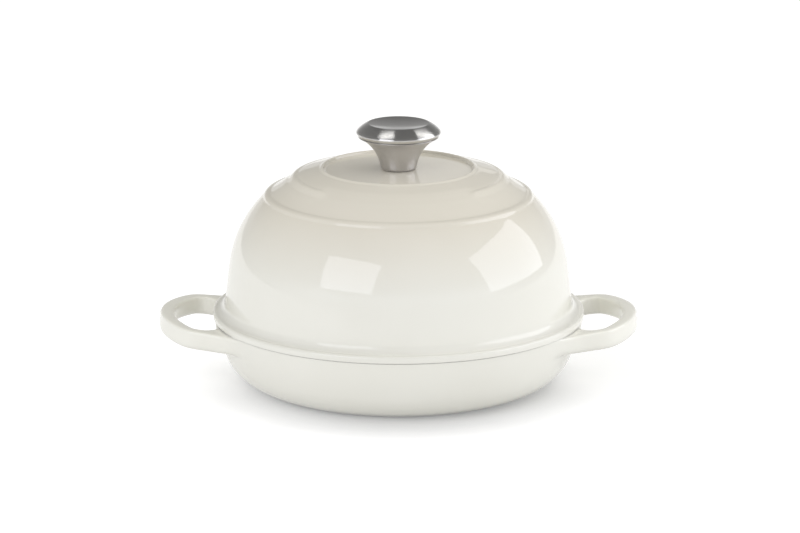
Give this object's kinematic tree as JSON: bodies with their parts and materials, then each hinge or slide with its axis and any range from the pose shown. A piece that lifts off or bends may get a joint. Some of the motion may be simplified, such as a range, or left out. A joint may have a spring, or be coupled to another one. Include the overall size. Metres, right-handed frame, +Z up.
{
  "type": "bread cloche",
  "caption": "Shallow round cast-iron baking dish with loop handles and a tall domed lid with stepped rings and a flared steel knob, in glossy cream enamel.",
  "frame": {"origin": "under the middle of the dish's foot, on the plane that it stands on", "axes": "+Z up through the middle of the dish, lid and knob; +X along the two handles; -Y is the front, where the middle ring of the lid is left plain"},
  "size_m": [0.321, 0.248, 0.1757],
  "materials": {
    "cream_enamel": "glossy enamel outside, matte black enamel inside",
    "satin_steel": "satin",
    "bright_steel": "polished",
    "plated_steel": "zinc plated"
  },
  "bodies": {
    "dish": {"base_dish": "cream_enamel"},
    "lid": {"lid_dome": "cream_enamel"},
    "knob": {"knob_stem": "satin_steel", "knob_cap": "bright_steel", "knob_insert": "plated_steel"},
    "screw": {"knob_screw": "plated_steel", "screw_washer": "plated_steel"}
  },
  "joints": [
    {"name": "lid_lift", "type": "slide", "parent": "dish", "child": "lid", "axis": [0, 0, 1], "range_m": [0, 0.15]},
    {"name": "knob_unscrew", "type": "hinge", "parent": "lid", "child": "knob", "pos_m": [0, 0, 0.1445], "axis": [0, 0, 1], "range_deg": [0, 2880]},
    {"name": "screw_run", "type": "slide", "parent": "lid", "child": "screw", "axis": [0, 0, -1], "range_m": [0, 0.0081]}
  ],
  "couplings": [
    {"joint": "screw_run", "follows": "knob_unscrew", "m_per_rad": 0.00015915}
  ]
}
